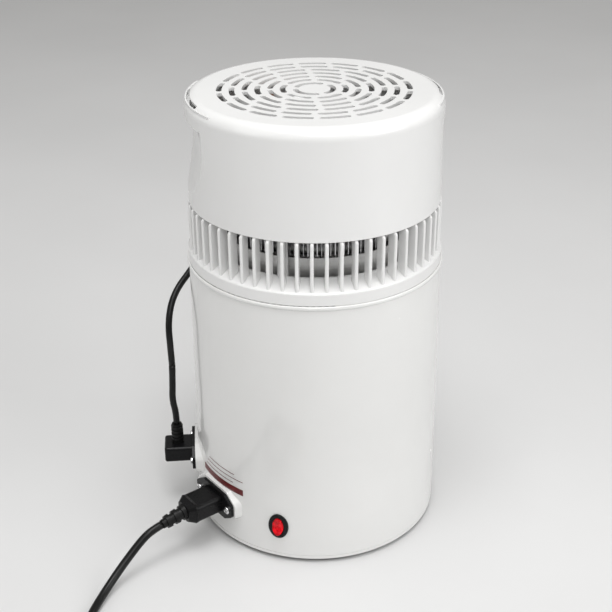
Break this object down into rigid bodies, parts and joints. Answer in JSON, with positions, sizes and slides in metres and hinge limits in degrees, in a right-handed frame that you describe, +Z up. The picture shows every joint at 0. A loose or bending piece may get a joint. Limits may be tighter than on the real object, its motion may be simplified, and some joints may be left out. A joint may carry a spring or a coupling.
{
  "type": "countertop water distiller",
  "caption": "Upright cylindrical water distiller: white boiler base with a rocker switch and side sockets, lift-off louvred condenser head with a fan, drip spout and black leads.",
  "frame": {"origin": "on the vertical axis of the body, on the surface that the feet stand on", "axes": "+Z up, -Y towards the drip spout, +X on the side of the mains inlet and the fan outlet"},
  "size_m": [0.3087, 0.3945, 0.36],
  "materials": {
    "white_enamel": "smooth gloss white paint",
    "white_plastic": "moulded gloss white",
    "dark_plate": "matt dark paint",
    "stainless": "drawn stainless steel",
    "sheath_steel": "satin steel",
    "lamination_steel": "stacked steel sheet",
    "bracket_steel": "zinc-plated sheet",
    "zinc_screw": "zinc-plated",
    "bright_screw": "bright plated",
    "shield_aluminium": "mill finish",
    "fin_aluminium": "bright sheet",
    "terminal_brass": "tinned or bare brass",
    "winding_copper": "enamelled copper under tape",
    "black_plastic": "moulded black",
    "fan_plastic": "moulded pale grey",
    "red_lens": "translucent red",
    "black_rubber": "soft black",
    "black_cord": "smooth flexible jacket",
    "silicone": "translucent silicone",
    "carbon_cloth": "filter paper round granules"
  },
  "bodies": {
    "base": {"base_casing": "white_enamel", "base_plate": "dark_plate", "rubber_feet": "black_rubber", "base_screws": "zinc_screw", "heat_shield": "shield_aluminium", "boiler_pot": "stainless", "heater_disc": "shield_aluminium", "heating_element": "sheath_steel", "element_terminals": "terminal_brass", "thermostat": "terminal_brass", "thermal_cutout": "sheath_steel", "mains_inlet": "black_plastic", "inlet_pins": "terminal_brass", "fan_outlet": "black_plastic", "outlet_contacts": "terminal_brass", "socket_screws": "bright_screw", "switch_housing": "black_plastic"},
    "rocker": {"switch_rocker": "red_lens"},
    "head": {"louvre_ring": "white_plastic", "head_lid": "white_plastic", "steam_dome": "stainless", "head_gasket": "silicone", "dome_screws": "zinc_screw", "lid_screws": "zinc_screw", "condenser_tube": "stainless", "condenser_fins": "fin_aluminium", "coil_straps": "sheath_steel", "steam_nut": "terminal_brass", "motor_core": "lamination_steel", "motor_winding": "winding_copper", "lower_bracket": "bracket_steel", "upper_bracket": "bracket_steel", "motor_screws": "zinc_screw", "spout_housing": "white_plastic", "spout_seal": "silicone", "spout_screws": "zinc_screw", "fan_lead_gland": "black_rubber", "fan_lead_upper": "black_cord", "motor_lead": "black_cord"},
    "fan": {"motor_rotor": "lamination_steel", "fan_blade": "fan_plastic", "fan_nut": "zinc_screw"},
    "filter": {"filter_cup": "white_plastic", "carbon_pod": "carbon_cloth", "filter_cap": "white_plastic"},
    "mains_lead": {"mains_connector": "black_plastic", "connector_relief": "black_rubber", "mains_cord_run": "black_cord", "mains_cord_coil": "black_cord", "cord_tie": "black_rubber", "mains_plug": "black_plastic", "mains_plug_pins": "terminal_brass"},
    "fan_plug": {"fan_plug": "black_plastic", "fan_plug_pins": "terminal_brass", "fan_plug_relief": "black_rubber", "fan_lead_lower": "black_cord"}
  },
  "joints": [
    {"name": "rocker_press", "type": "hinge", "parent": "base", "child": "rocker", "pos_m": [0.04479, 0.08791, 0.0336], "axis": [-0.891, 0.454, 0], "range_deg": [0, 12]},
    {"name": "head_lift", "type": "slide", "parent": "base", "child": "head", "axis": [0, 0, 1], "range_m": [0, 0.06]},
    {"name": "fan_spin", "type": "hinge", "parent": "head", "child": "fan", "pos_m": [0, 0, 0.305], "axis": [0, 0, 1], "continuous": true},
    {"name": "filter_lift", "type": "slide", "parent": "head", "child": "filter", "axis": [0, 0, 1], "range_m": [0, 0.055]},
    {"name": "mains_unplug", "type": "slide", "parent": "base", "child": "mains_lead", "axis": [0.8829, 0.4695, 0], "range_m": [0, 0.025]},
    {"name": "fan_unplug", "type": "slide", "parent": "base", "child": "fan_plug", "axis": [0.9969, -0.0785, 0], "range_m": [0, 0.02]}
  ]
}
